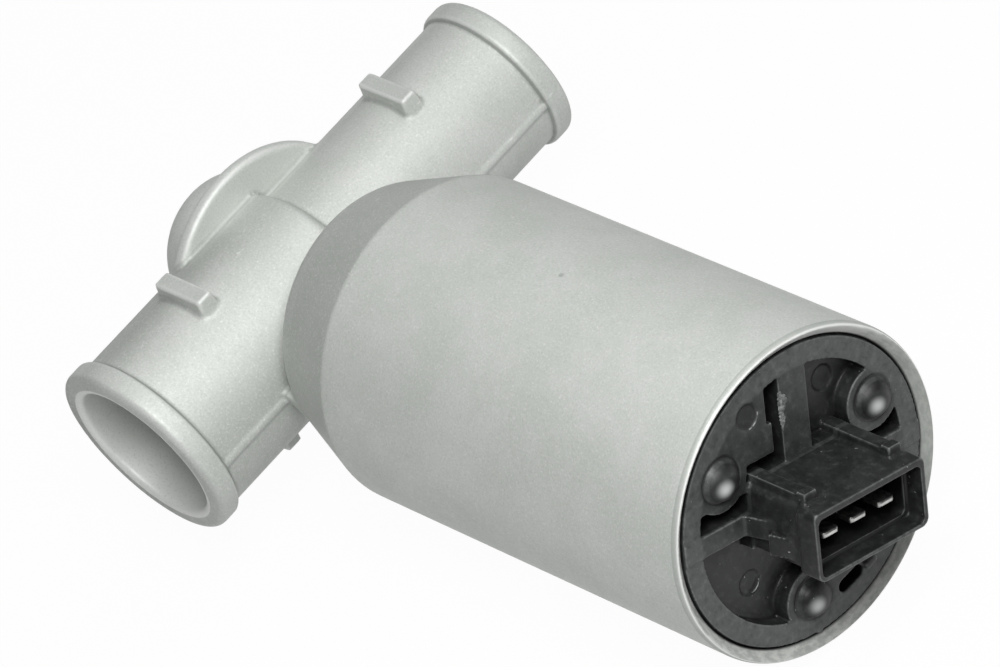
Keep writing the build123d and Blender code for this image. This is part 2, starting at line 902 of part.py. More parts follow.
# Rotary slide: a curved wall between two sector webs on a hub
hub_wall = 1.5
with BuildPart() as rotary_slide:
    with BuildSketch(axial(-slide_end)):
        make_face(wedge(slide_r, rest_angle, slide_angle).edges())
    extrude(amount=2 * slide_end)
    with BuildSketch(axial(-slide_end + slide_web)):
        Circle(slide_r - slide_wall)
    extrude(amount=2 * (slide_end - slide_web), mode=Mode.SUBTRACT)
    with BuildSketch(axial(-slide_end)):
        Circle(shaft_r + hub_wall)
    extrude(amount=2 * slide_end)
    with BuildSketch(axial(-slide_end)):
        Circle(shaft_r)
    extrude(amount=2 * slide_end, mode=Mode.SUBTRACT)

# Armature core: a stack of slotted sheets
with BuildPart() as armature_core:
    with BuildSketch(axial(core_x)):
        Circle(armature_r)
        Circle(shaft_r, mode=Mode.SUBTRACT)
        slot_depth = armature_r - tooth_tip - slot_floor
        with PolarLocations(slot_floor + slot_depth / 2, 4, start_angle=45):
            Rectangle(slot_depth, slot_width, mode=Mode.SUBTRACT)
        with PolarLocations(armature_r, 4, start_angle=45):
            Rectangle(4 * tooth_tip, slot_mouth, mode=Mode.SUBTRACT)
    extrude(amount=core_end - core_x)


def end_plate(start):
    """Insulating plate on one end of the core, with the core's slots."""
    with BuildPart() as piece:
        with BuildSketch(axial(start)):
            Circle(armature_r - tooth_tip / 2)
            Circle(shaft_r, mode=Mode.SUBTRACT)
            with PolarLocations(armature_r, 4, start_angle=45):
                Rectangle(2 * (armature_r - slot_floor), slot_width, mode=Mode.SUBTRACT)
        extrude(amount=plate_thick)
    return piece


end_plate_rear = end_plate(core_x - plate_thick)
end_plate_front = end_plate(core_end)

# Windings: two legs in opposite slots, joined round the shaft at both ends
leg_gap = 0.15
coil_spread = 2.8           # coil ends, past the legs on both sides
coil_bore = 1.2             # room between the shaft and the coil ends
leg_r = armature_r - tooth_tip - leg_gap


def winding(angle, outward):
    """Coil at an angle; outward is how far its ends stand off the core."""
    start = core_x - plate_thick - outward - coil_thick
    end = core_end + plate_thick + outward + coil_thick
    leg_depth = leg_r - slot_floor - leg_gap
    with BuildPart() as piece:
        with BuildSketch(axial(start)):
            with PolarLocations(slot_floor + leg_gap + leg_depth / 2, 2, start_angle=angle):
                Rectangle(leg_depth, slot_width - 2 * leg_gap)
        extrude(amount=end - start)
        for place in (start, end - coil_thick):
            with BuildSketch(axial(place)):
                Circle(leg_r)
                with Locations(Rot(0, 0, angle)):
                    Rectangle(2 * leg_r, slot_width + 2 * coil_spread, mode=Mode.INTERSECT)
                Circle(shaft_r + coil_bore, mode=Mode.SUBTRACT)
            extrude(amount=coil_thick)
    return piece


winding_opening = winding(45, 0.0)
winding_closing = winding(135, coil_thick + coil_gap)

# Contact drum: moulded hub with four copper segments
segment_bed = drum_r - segment_thick
hub_past = 0.4              # hub's ends, past the segments
contact_hub = sleeve(drum_x - hub_past, drum_end + hub_past, segment_bed, shaft_r)
drum_turn = clock - (open_angle - close_angle) / 2
with BuildPart() as contact_segments:
    for quarter in range(4):
        with BuildSketch(axial(drum_x)):
            make_face(wedge(drum_r, drum_turn + 90 * quarter, 90 - segment_gap).edges())
            Circle(segment_bed, mode=Mode.SUBTRACT)
        extrude(amount=drum_end - drum_x)

# Brush holder, brushes and their springs, in the connector's own directions
holder_r = magnet_r
holder_gap = 1.6            # between the holder and the drum
channel_start = 2.0
brush_x = (drum_x + drum_end) / 2
brush_angles = (180, 270, 0)
brush_back = drum_r + running + brush_length
spring_bend = 0.8           # where the strips bend, from the brush's middle and the blade's end
with BuildPart() as brush_holder:
    with BuildSketch(capside(drum_x - rim_x)):
        Circle(holder_r)
        Circle(drum_r + holder_gap, mode=Mode.SUBTRACT)
    extrude(amount=drum_end - drum_x + hub_past)
    with BuildSketch(capside(brush_x - brush_side / 2 - slip - rim_x)):
        for angle in brush_angles:
            with PolarLocations((holder_r + channel_start) / 2, 1, start_angle=angle):
                Rectangle(holder_r - channel_start, brush_side + 2 * slip)
    extrude(amount=holder_r, mode=Mode.SUBTRACT)


def brush(angle):
    """Carbon block with a face curved to the drum."""
    with BuildPart() as piece:
        with BuildSketch(capside(brush_x - brush_side / 2 - rim_x)):
            with PolarLocations((drum_r + brush_back) / 2, 1, start_angle=angle):
                Rectangle(brush_length + 2 * running, brush_side)
            Circle(drum_r + running, mode=Mode.SUBTRACT)
        extrude(amount=brush_side)
    return piece


def brush_spring(angle):
    """Bent strip from the brush's back to the terminal's inner end."""
    turn = math.radians(clock + angle)
    radial = Vector(0, math.cos(turn), math.sin(turn))
    plane = Plane(origin=(0, 0, 0), x_dir=(1, 0, 0), z_dir=Vector(1, 0, 0).cross(radial))
    back = brush_back + running
    outer = blade_out + slip / 5
    with BuildPart() as piece:
        with BuildSketch(plane.offset(-strip_width / 2)):
            with BuildLine():
                Polyline(
                    (brush_x - brush_side / 2, back),
                    (brush_x + spring_bend, back),
                    (blade_inner - spring_bend, outer),
                    (blade_inner + 2 * spring_bend, outer),
                    (blade_inner + 2 * spring_bend, outer + strip_thick),
                    (blade_inner - spring_bend - strip_thick / 2, outer + strip_thick),
                    (brush_x + spring_bend - strip_thick / 2, back + strip_thick),
                    (brush_x - brush_side / 2, back + strip_thick),
                    close=True,
                )
            make_face()
        extrude(amount=strip_width)
    return piece


brush_left, brush_middle, brush_right = [brush(angle) for angle in brush_angles]
spring_left, spring_middle, spring_right = [brush_spring(angle) for angle in brush_angles]

pieces = {
    "valve_housing": valve_housing,
    "end_cap": end_cap,
    "cap_seal": cap_seal,
    "terminal_blade_left": terminal_blade_left,
    "terminal_blade_middle": terminal_blade_middle,
    "terminal_blade_right": terminal_blade_right,
    "flux_sleeve": flux_sleeve,
    "magnet_upper": magnet_upper,
    "magnet_lower": magnet_lower,
    "magnet_springs": magnet_springs,
    "nose_bearing_outer": nose_bearing_outer,
    "nose_bearing_inner": nose_bearing_inner,
    "nose_bearing_balls": nose_bearing_balls,
    "nose_bearing_cage": nose_bearing_cage,
    "cap_bearing_outer": cap_bearing_outer,
    "cap_bearing_inner": cap_bearing_inner,
    "cap_bearing_balls": cap_bearing_balls,
    "cap_bearing_cage": cap_bearing_cage,
    "preload_washer": preload_washer,
    "bearing_shield": bearing_shield,
    "seal_carrier": seal_carrier,
    "shaft_seal": shaft_seal,
    "stop_pin": stop_pin,
    "stop_sector": stop_sector,
    "rotor_shaft": rotor_shaft,
    "slide_clip": slide_clip,
    "rotary_slide": rotary_slide,
    "armature_core": armature_core,
    "end_plate_rear": end_plate_rear,
    "end_plate_front": end_plate_front,
    "winding_opening": winding_opening,
    "winding_closing": winding_closing,
    "contact_hub": contact_hub,
    "contact_segments": contact_segments,
    "brush_holder": brush_holder,
    "brush_left": brush_left,
    "brush_middle": brush_middle,
    "brush_right": brush_right,
    "brush_spring_left": spring_left,
    "brush_spring_middle": spring_middle,
    "brush_spring_right": spring_right,
}

os.makedirs("parts", exist_ok=True)
for name, piece in pieces.items():
    piece.part.label = name
    export_step(piece.part, f"parts/{name}.step")
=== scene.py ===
import bpy
import bmesh
import math
from mathutils import Matrix, Quaternion, Vector


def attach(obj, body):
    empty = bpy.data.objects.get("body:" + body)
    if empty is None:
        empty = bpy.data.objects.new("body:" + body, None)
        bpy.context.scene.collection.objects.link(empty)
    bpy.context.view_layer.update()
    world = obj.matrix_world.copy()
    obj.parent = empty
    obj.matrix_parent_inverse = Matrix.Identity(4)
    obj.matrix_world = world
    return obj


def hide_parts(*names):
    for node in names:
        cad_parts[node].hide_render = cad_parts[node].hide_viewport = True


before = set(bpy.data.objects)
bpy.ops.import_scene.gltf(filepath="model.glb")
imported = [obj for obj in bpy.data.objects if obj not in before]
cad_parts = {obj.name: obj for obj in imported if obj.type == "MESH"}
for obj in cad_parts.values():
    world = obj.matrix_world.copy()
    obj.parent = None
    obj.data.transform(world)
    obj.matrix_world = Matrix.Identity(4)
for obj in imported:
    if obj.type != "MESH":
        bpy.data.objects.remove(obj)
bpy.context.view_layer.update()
mm = 0.001


# Tools for shapes
def clearSelection():
    if bpy.context.mode != "OBJECT":
        bpy.ops.object.mode_set(mode="OBJECT")
    bpy.ops.object.select_all(action="DESELECT")


def pickOnly(piece):
    clearSelection()
    piece.select_set(True)
    bpy.context.view_layer.objects.active = piece


def applyModifier(piece, kind, **settings):
    pickOnly(piece)
    modifier = piece.modifiers.new(kind.title(), kind)
    for key, value in settings.items():
        setattr(modifier, key, value)
    bpy.ops.object.modifier_apply(modifier=modifier.name)


def copyOfNode(node, name):
    # a CAD node's mesh is loose triangles, so the copy is merged
    pickOnly(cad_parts[node])
    bpy.ops.object.duplicate()
    piece = bpy.context.active_object
    piece.name = name
    piece.data.name = name
    piece.parent = None
    for key in list(piece.keys()):
        del piece[key]
    bpy.ops.object.mode_set(mode="EDIT")
    bpy.ops.mesh.select_all(action="SELECT")
    bpy.ops.mesh.customdata_custom_splitnormals_clear()
    bpy.ops.mesh.remove_doubles(threshold=0.002 * mm)
    bpy.ops.object.mode_set(mode="OBJECT")
    return piece


def newPiece(name, points, edges):
    mesh = bpy.data.meshes.new(name)
    mesh.from_pydata(points, edges, [])
    piece = bpy.data.objects.new(name, mesh)
    bpy.context.scene.collection.objects.link(piece)
    return piece


def spun(name, corners, steps):
    # turns an open line of (x, radius) corners about the motor axis
    points = [(x * mm, 0, radius * mm) for x, radius in corners]
    piece = newPiece(name, points, [(i, i + 1) for i in range(len(points) - 1)])
    applyModifier(piece, "SCREW", axis="X", angle=math.tau, steps=steps, render_steps=steps,
                  use_merge_vertices=True, merge_threshold=0.001 * mm)
    applyModifier(piece, "WELD", merge_threshold=0.001 * mm)
    return piece


def rope(name, points, radius):
    # round bar along a line of points
    line = bpy.data.curves.new(name, "CURVE")
    line.dimensions = "3D"
    line.bevel_depth = radius
    line.bevel_resolution = 3
    line.use_fill_caps = True
    spline = line.splines.new("POLY")
    spline.points.add(len(points) - 1)
    for target, point in zip(spline.points, points):
        target.co = (*point, 1)
    piece = bpy.data.objects.new(name, line)
    bpy.context.scene.collection.objects.link(piece)
    pickOnly(piece)
    bpy.ops.object.convert(target="MESH")
    return bpy.context.active_object


def joinInto(piece, others):
    clearSelection()
    for other in others:
        other.select_set(True)
    piece.select_set(True)
    bpy.context.view_layer.objects.active = piece
    bpy.ops.object.join()


def cutAway(piece, x, past, fill):
    # takes off what lies past a plane square to the motor axis, or before it
    pickOnly(piece)
    bpy.ops.object.mode_set(mode="EDIT")
    bpy.ops.mesh.select_all(action="SELECT")
    bpy.ops.mesh.bisect(plane_co=(x, 0, 0), plane_no=(1, 0, 0), use_fill=fill, clear_inner=not past,
                        clear_outer=past)
    bpy.ops.object.mode_set(mode="OBJECT")


def facesOutward(piece):
    pickOnly(piece)
    bpy.ops.object.mode_set(mode="EDIT")
    bpy.ops.mesh.select_all(action="SELECT")
    bpy.ops.mesh.normals_make_consistent(inside=False)
    if bmesh.from_edit_mesh(piece.data).calc_volume(signed=True) < 0:
        bpy.ops.mesh.flip_normals()
    bpy.ops.object.mode_set(mode="OBJECT")


def markWearAndShade(piece, rounds):
    # a colour layer: light on raised edges for wear and painted highlight, dark in corners for painted shade
    pickOnly(piece)
    bpy.ops.geometry.color_attribute_add(name="wearAndShade", domain="CORNER", data_type="BYTE_COLOR",
                                         color=(1, 1, 1, 1))
    bpy.ops.object.mode_set(mode="VERTEX_PAINT")
    bpy.ops.paint.vertex_color_dirt(blur_strength=1.0, blur_iterations=rounds, normalize=False,
                                    dirt_angle=math.radians(60), clean_angle=math.radians(120))
    bpy.ops.object.mode_set(mode="OBJECT")


def evenWearAndShade(piece, level, start, end):
    # faces made after the wear and shade layer was marked get a middle level, and so does a stretch of the
    # motor axis
    mesh = piece.data
    for mark, corner in zip(mesh.color_attributes["wearAndShade"].data, mesh.loops):
        if mark.color[0] < 0.02 or start < mesh.vertices[corner.vertex_index].co.x < end:
            mark.color = (level, level, level, 1)


def soften(piece, voxel, rounds, keep):
    # one skin with rounded edges and filled corners, as a casting or a moulding has
    applyModifier(piece, "REMESH", mode="VOXEL", voxel_size=voxel)
    applyModifier(piece, "SMOOTH", factor=0.5, iterations=rounds)
    markWearAndShade(piece, 1)
    applyModifier(piece, "DECIMATE", ratio=keep)


def smoothShade(piece, angle):
    pickOnly(piece)
    bpy.ops.object.shade_smooth_by_angle(angle=math.radians(angle))


def dress(piece, material):
    piece.data.materials.clear()
    piece.data.materials.append(material)


def colour(code):
    # a colour written as in a paint program, in the linear values that shaders use
    parts = [int(code[i:i + 2], 16) / 255 for i in (1, 3, 5)]
    return [p / 12.92 if p <= 0.04045 else ((p + 0.055) / 1.055) ** 2.4 for p in parts] + [1.0]


# Tools for finishes
class Wire:
    # an output socket; arithmetic on it adds Math nodes
    def __init__(self, finish, output):
        self.finish = finish
        self.output = output

    def sum(self, operation, first, second):
        return self.finish.node("ShaderNodeMath", {"operation": operation}, {0: first, 1: second})

    def __add__(self, other):
        return self.sum("ADD", self, other)

    def __radd__(self, other):
        return self.sum("ADD", other, self)

    def __sub__(self, other):
        return self.sum("SUBTRACT", self, other)

    def __rsub__(self, other):
        return self.sum("SUBTRACT", other, self)

    def __mul__(self, other):
        return self.sum("MULTIPLY", self, other)

    def __rmul__(self, other):
        return self.sum("MULTIPLY", other, self)


class Finish:
    # one material and its nodes
    def __init__(self, name):
        self.material = bpy.data.materials.new(name)
        self.material.use_nodes = True
        self.tree = self.material.node_tree
        self.tree.nodes.clear()

    def node(self, kind, settings=None, inputs=None, output=0):
        made = self.tree.nodes.new(kind)
        for key, value in (settings or {}).items():
            setattr(made, key, value)
        for key, value in (inputs or {}).items():
            if isinstance(value, Wire):
                self.tree.links.new(value.output, made.inputs[key])
            else:
                made.inputs[key].default_value = value
        return Wire(self, made.outputs[output]) if made.outputs else None

    def place(self):
        return self.node("ShaderNodeTexCoord", output="Object")

    def along(self, place, axis):
        return self.node("ShaderNodeSeparateXYZ", {}, {0: place}, axis)

    def distance(self, place, point, kept=(1, 1, 1)):
        # from a point, or from a line where one direction is left out
        gap = self.node("ShaderNodeVectorMath", {"operation": "SUBTRACT"}, {0: place, 1: point})
        gap = self.node("ShaderNodeVectorMath", {"operation": "MULTIPLY"}, {0: gap, 1: kept})
        return self.node("ShaderNodeVectorMath", {"operation": "LENGTH"}, {0: gap}, "Value")

    def stretched(self, place, sizes):
        return self.node("ShaderNodeVectorMath", {"operation": "MULTIPLY"}, {0: place, 1: sizes})

    def noise(self, place, size, detail=2.0, roughness=0.5):
        # size is the width of one blotch in metres
        return self.node("ShaderNodeTexNoise", {}, {
            "Vector": place, "Scale": 1 / size, "Detail": detail, "Roughness": roughness})

    def wearAndShade(self):
        return self.node("ShaderNodeAttribute", {"attribute_name": "wearAndShade"}, output="Fac")

    def band(self, value, low, high, bottom=0.0, top=1.0):
        return self.node("ShaderNodeMapRange", {"interpolation_type": "SMOOTHSTEP"}, {
            "Value": value, "From Min": low, "From Max": high, "To Min": bottom, "To Max": top})

    def blend(self, amount, first, second, mode="MIX"):
        return self.node("ShaderNodeMix", {"data_type": "RGBA", "blend_type": mode}, {
            "Factor": amount, 6: first, 7: second}, 2)

    def bump(self, height, depth, strength=1.0, under=None):
        inputs = {"Height": height, "Distance": depth, "Strength": strength}
        if under is not None:
            inputs["Normal"] = under
        return self.node("ShaderNodeBump", {}, inputs)

    def surface(self, **sockets):
        named = {key.replace("_", " "): value for key, value in sockets.items()}
        shader = self.node("ShaderNodeBsdfPrincipled", {}, named)
        self.node("ShaderNodeOutputMaterial", {}, {"Surface": shader})
        return self.material


# Camera
view = {
    "place": Vector((0.71702, -0.32036, 0.64061)),
    "along": Vector((-0.68804, 0.32762, -0.64751)),
    "roll": 30.36,      # degrees, the frame's top towards the right
    "lens": 263.44,
}
camera = bpy.data.objects.new("camera", bpy.data.cameras.new("camera"))
bpy.context.scene.collection.objects.link(camera)
camera.data.lens = view["lens"]
camera.data.sensor_width = 36
camera.data.clip_start = 0.05
turn = view["along"].to_track_quat("-Z", "Y") @ Quaternion((0, 0, 1), -math.radians(view["roll"]))
camera.matrix_world = Matrix.Translation(view["place"]) @ turn.to_matrix().to_4x4()
bpy.context.scene.camera = camera
bpy.context.scene.view_settings.view_transform = "Standard"

# Lamps, room and floor
studio = {
    "floorHeight": -23.25 * mm,
    "floorSize": 6.0,
    "room": 0.15,           # level of the even light from all round
    "floorColour": 0.65,    # what the floor sends back to the valve
    "floorWhite": 0.97,     # how much of its own white the camera and reflections see
    "lamps": [              # right, up and back from the valve as the camera sees it, size, watts
        ("frontLamp", (-0.03, 0.11, 0.39), 0.22, 1.71),
        ("topLamp", (0.02, 1.04, 0.54), 0.8, 3.5),
    ],
    "target": Vector((35, 0, 0)) * mm,
}
right, up, back = (turn @ Vector(axis) for axis in ((1, 0, 0), (0, 1, 0), (0, 0, 1)))
for name, spot, size, watts in studio["lamps"]:
    lamp = bpy.data.objects.new(name, bpy.data.lights.new(name, "AREA"))
    lamp.data.shape = "DISK"
    lamp.data.size = size
    lamp.data.energy = watts
    lamp.visible_camera = False
    lamp.location = studio["target"] + right * spot[0] + up * spot[1] + back * spot[2]
    lamp.rotation_mode = "QUATERNION"
    lamp.rotation_quaternion = (studio["target"] - lamp.location).to_track_quat("-Z", "Y")
    bpy.context.scene.collection.objects.link(lamp)

room = bpy.data.worlds.new("room")
room.use_nodes = True
room.node_tree.nodes["Background"].inputs["Color"].default_value = (1, 1, 1, 1)
room.node_tree.nodes["Background"].inputs["Strength"].default_value = studio["room"]
bpy.context.scene.world = room

clearSelection()
bpy.ops.mesh.primitive_plane_add(size=studio["floorSize"], location=(0, 0, studio["floorHeight"]))
floor = bpy.context.active_object
floor.name = "floor"
bpy.ops.object.transform_apply()
paper = Finish("whitePaper")
rays = paper.node("ShaderNodeLightPath", output="Is Camera Ray")
glossy = paper.node("ShaderNodeLightPath", output="Is Glossy Ray")
through = paper.node("ShaderNodeLightPath", output="Is Transmission Ray")
lit = paper.node("ShaderNodeBsdfDiffuse", {}, {"Color": (*[studio["floorColour"]] * 3, 1)})
white = paper.node("ShaderNodeEmission", {}, {"Color": (1, 1, 1, 1), "Strength": 1.0})
seen = (rays + glossy + through) * studio["floorWhite"]
sheet = paper.node("ShaderNodeMixShader", {}, {"Fac": seen, 1: lit, 2: white})
paper.node("ShaderNodeOutputMaterial", {}, {"Surface": sheet})
dress(floor, paper.material)
print("stage set")


# Finishes
def castAlloy():
    look = {
        "low": "#BCC0BB", "high": "#C3C6C2", "speck": "#DADCD8", "crease": "#80847F", "wornAndLit": "#E6E8E5",
        "groove": "#242525", "slopeDark": "#A4A7A3", "slopeLight": "#C4C6C2", "neck": "#9CA09B",
        "nose": "#D2D5D1", "bore": "#E4E6E3",
        "beads": [(-31.3, 13.0), (39.3, 11.3)],     # foot of each bead along Y, and the stub's radius there
        "marks": [((61.8, 3.55, 22.98), 0.55)],     # dark spots
    }
    fade = {    # each tone's place: where it starts and where it is full
        "barrel": (28.5 * mm, 30.5 * mm),                                       # x
        "neck": (13 * mm, 20 * mm), "neckEnd": (30.6 * mm, 29.6 * mm),          # x
        "neckTop": (2 * mm, 13 * mm),                                           # z
        "nose": (-4.0 * mm, -6.0 * mm),                                         # x
        "nearStub": (-3 * mm, -8 * mm),                                         # y
        "nearSkin": (14.7 * mm, 14.3 * mm),                                     # from the stubs' axis
        "nearTop": (3 * mm, -4 * mm), "nearFoot": (9 * mm, 2 * mm),             # x, z
        "bore": (-13 * mm, -16 * mm), "boreWall": (12.3 * mm, 12.1 * mm),       # y, from the stubs' axis
        "beadLine": (0.24 * mm, 0.10 * mm),                                     # from the bead's foot
        "slope": (98.25 * mm, 98.45 * mm), "slopeEdge": (22.93 * mm, 22.85 * mm),       # x, radius
        "slopeLit": (4 * mm, 10 * mm), "slopeLitTop": (9 * mm, 15 * mm),        # y, z
        "slopeDim": (8 * mm, 16 * mm), "slopeDimFoot": (12 * mm, 2 * mm),       # y, z
        "crest": (22.84 * mm, 22.90 * mm), "crestEnd": (99.15 * mm, 99.3 * mm),         # radius, x
        "roll": (98.45 * mm, 98.65 * mm), "rollEdge": (22.98 * mm, 23.05 * mm),         # x, radius
        "groove": (21.75 * mm, 21.45 * mm), "grooveEnd": (90 * mm, 91 * mm),            # radius, x
    }
    finish = Finish("castAlloy")
    at = finish.place()
    x = finish.along(at, "X")
    y = finish.along(at, "Y")
    z = finish.along(at, "Z")
    radius = finish.distance(at, (0, 0, 0), (0, 1, 1))
    fromStub = finish.distance(at, (0, 0, 0), (1, 0, 1))
    barrel = finish.band(x, *fade["barrel"])
    grain = finish.noise(at, 0.30 * mm, 3.0, 0.65)
    pores = finish.noise(at, 0.9 * mm, 2.0, 0.6)
    cloud = finish.noise(at, 9 * mm, 4.0, 0.6)
    flecks = finish.noise(finish.stretched(at, (1.0, 0.4, 1.0)), 1.2 * mm, 3.0, 0.6)
    edges = finish.wearAndShade()

    # tones of the casting's parts, with painted shade on the neck and the near stub's edges and painted
    # light on the nose
    tone = finish.blend(finish.band(cloud, 0.3, 0.7), colour(look["low"]), colour(look["high"]))
    # painted shade: the neck is darker, most towards its top
    neck = finish.band(x, *fade["neck"], 0.0, 0.9) * finish.band(x, *fade["neckEnd"])
    tone = finish.blend(neck * finish.band(z, *fade["neckTop"], 0.08, 0.45), tone, colour(look["neck"]))
    # painted light: the nose is lighter
    tone = finish.blend(finish.band(x, *fade["nose"]) * 0.6, tone, colour(look["nose"]))
    # painted shade on the near stub, along its upper edge and towards its foot
    nearStub = finish.band(y, *fade["nearStub"]) * finish.band(fromStub, *fade["nearSkin"])
    edgeShade = finish.band(x, *fade["nearTop"], 0.0, 0.5) + finish.band(z, *fade["nearFoot"], 0.0, 0.4)
    tone = finish.blend(nearStub * edgeShade, tone, colour(look["neck"]))
    bore = finish.band(y, *fade["bore"]) * finish.band(fromStub, *fade["boreWall"])
    tone = finish.blend(bore * 0.9, tone, colour(look["bore"]))

    # grain, flecks, wear, painted highlight on raised edges and painted shade in corners and at the beads'
    # feet
    tone = finish.blend(finish.band(grain, 0.52, 0.75, 0.0, 0.65), tone, colour(look["speck"]))
    tone = finish.blend(finish.band(grain, 0.5, 0.28, 0.0, 0.22), tone, colour(look["crease"]))
    bright = finish.band(flecks, 0.67, 0.76, 0.0, 0.5) * (1 - barrel * 0.8)
    tone = finish.blend(bright, tone, colour(look["wornAndLit"]))
    # painted shade darkens the corners; raised edges are lighter with wear and painted highlight
    tone = finish.blend(finish.band(edges, 0.485, 0.40, 0.0, 0.5), tone, colour(look["crease"]))
    tone = finish.blend(finish.band(edges, 0.53, 0.62, 0.0, 0.45), tone, colour(look["wornAndLit"]))
    # painted shade: a dark line in the crease at each bead's foot
    for foot, outside in look["beads"]:
        step = finish.node("ShaderNodeMath", {"operation": "ABSOLUTE"}, {0: y - foot * mm})
        skin = finish.band(fromStub, outside * mm, (outside + 0.2) * mm)
        tone = finish.blend(finish.band(step, *fade["beadLine"]) * skin * 0.65, tone, colour(look["crease"]))
    for spot, size in look["marks"]:
        gap = finish.distance(at, tuple(value * mm for value in spot))
        mark = finish.band(gap, size * mm, size * 0.4 * mm, 0.0, 0.5)
        tone = finish.blend(mark, tone, colour(look["crease"]))

    # rim of the canister, with painted highlight and painted shade on its slope, and painted shade on its
    # roll and in the gap at the cap
    streak = finish.noise(finish.stretched(at, (3.0, 1.0, 1.0)), 1.6 * mm, 3.0, 0.65)
    slope = finish.band(x, *fade["slope"]) * finish.band(radius, *fade["slopeEdge"])
    streaks = finish.band(streak, 0.35, 0.65)
    slopeTone = finish.blend(streaks, colour(look["slopeDark"]), colour(look["slopeLight"]))
    tone = finish.blend(slope, tone, slopeTone)
    # painted highlight on the upper part of the rim's slope
    lit = slope * finish.band(y, *fade["slopeLit"]) * finish.band(z, *fade["slopeLitTop"], 0.0, 0.8)
    tone = finish.blend(lit, tone, colour(look["wornAndLit"]))
    # painted shade on the lower part of the rim's slope
    dim = slope * finish.band(y, *fade["slopeDim"]) * finish.band(z, *fade["slopeDimFoot"], 0.0, 0.6)
    tone = finish.blend(dim, tone, colour(look["crease"]))
    crest = finish.band(radius, *fade["crest"]) * finish.band(x, *fade["crestEnd"])
    tone = finish.blend(crest * 0.7, tone, colour(look["wornAndLit"]))
    # painted shade on the outer face of the roll
    roll = finish.band(x, *fade["roll"]) * finish.band(radius, *fade["rollEdge"])
    tone = finish.blend(roll * 0.45, tone, colour(look["crease"]))
    # painted shade: dark in the gap between the canister's rim and the cap
    groove = finish.band(radius, *fade["groove"]) * finish.band(x, *fade["grooveEnd"])
    tone = finish.blend(groove, tone, colour(look["groove"]))

    rough = finish.band(pores, 0.3, 0.7, 0.52, 0.62) - slope * 0.15
    rise = finish.bump(finish.band(pores, 0.3, 0.7) * (1 - barrel * 0.8), 0.012 * mm)
    return finish.surface(
        Base_Color=tone, Metallic=0.25, Roughness=rough, Normal=finish.bump(grain, 0.011 * mm, 1.0, rise))


def blackMoulding():
    look = {
        "low": "#161717", "high": "#212222", "dust": "#4E5050", "pale": "#6B6D6D", "wornAndLit": "#747676",
        "crease": "#0B0C0C", "speck": "#9A9C9C", "domeHighlight": "#CDCFCF",
        "crowns": [(100.5, 14.7, 2.0), (100.5, -10.4, 12.6), (100.5, -7.0, -14.4)],   # of the domes
    }
    fade = {    # each tone's place: where it starts and where it is full
        "ring": (17.9 * mm, 18.4 * mm),                                         # radius
        "face": (98.3 * mm, 98.5 * mm), "faceEnd": (99.3 * mm, 99.1 * mm),      # x
        "crown": (1.7 * mm, 0.1 * mm),                                          # from the crown
    }
    finish = Finish("blackMoulding")
    at = finish.place()
    x = finish.along(at, "X")
    radius = finish.distance(at, (0, 0, 0), (0, 1, 1))
    grain = finish.noise(at, 0.22 * mm, 3.0, 0.6)
    cloud = finish.noise(at, 3 * mm, 4.0, 0.6)
    mottle = finish.noise(at, 1.1 * mm, 3.0, 0.65)
    specks = finish.noise(at, 0.45 * mm, 0.0, 0.5)
    edges = finish.wearAndShade()
    ring = finish.band(radius, *fade["ring"]) * finish.band(x, *fade["face"])
    face = finish.band(x, *fade["face"]) * finish.band(x, *fade["faceEnd"])
    tone = finish.blend(finish.band(cloud, 0.3, 0.7), colour(look["low"]), colour(look["high"]))
    dust = (face * 0.35 + ring * 0.45) * finish.band(cloud, 0.25, 0.6, 0.75, 1.0)
    tone = finish.blend(dust, tone, colour(look["dust"]))
    pale = finish.band(mottle, 0.50, 0.72, 0.0, 0.35) * (0.35 + face * 0.3 + ring * 0.35)
    tone = finish.blend(pale, tone, colour(look["pale"]))
    tone = finish.blend(finish.band(mottle, 0.48, 0.30, 0.0, 0.4), tone, colour(look["crease"]))
    # painted shade darkens the corners; raised edges are lighter with wear and painted highlight
    tone = finish.blend(finish.band(edges, 0.48, 0.38, 0.0, 0.8), tone, colour(look["crease"]))
    wornAndLit = finish.band(edges, 0.55, 0.70, 0.0, 0.75) * finish.band(mottle, 0.35, 0.55, 0.45, 1.0)
    tone = finish.blend(wornAndLit, tone, colour(look["wornAndLit"]))
    tone = finish.blend(finish.band(specks, 0.85, 0.88, 0.0, 0.6), tone, colour(look["speck"]))
    # painted highlight: a pale spot on each dome where it reflects the light
    for crown in look["crowns"]:
        gap = finish.distance(at, tuple(value * mm for value in crown))
        tone = finish.blend(finish.band(gap, *fade["crown"], 0.0, 0.8), tone, colour(look["domeHighlight"]))
    return finish.surface(
        Base_Color=tone, Roughness=finish.band(cloud, 0.3, 0.7, 0.44, 0.56),
        Normal=finish.bump(grain + mottle * 0.8, 0.018 * mm))


def tornPlasticAndHighlight():
    # where the black plastic is torn, and pale arcs that are a painted highlight on the pin marks' rims
    look = {"low": "#4A4C4C", "high": "#8C8E8E"}
    finish = Finish("tornPlasticAndHighlight")
    grain = finish.noise(finish.place(), 0.5 * mm, 3.0, 0.6)
    tone = finish.blend(finish.band(grain, 0.35, 0.65), colour(look["low"]), colour(look["high"]))
    return finish.surface(Base_Color=tone, Roughness=0.5, Normal=finish.bump(grain, 0.02 * mm))


def simpleMetal(name, low, high, rough, grainSize, metallic=1.0, depth=0.01):
    finish = Finish(name)
    at = finish.place()
    grain = finish.noise(at, grainSize * mm, 3.0)
    tone = finish.blend(finish.band(grain, 0.3, 0.7), colour(low), colour(high))
    return finish.surface(
        Base_Color=tone, Metallic=metallic, Roughness=finish.band(grain, 0.3, 0.7, rough, rough + 0.12),
        Normal=finish.bump(grain, depth * mm))


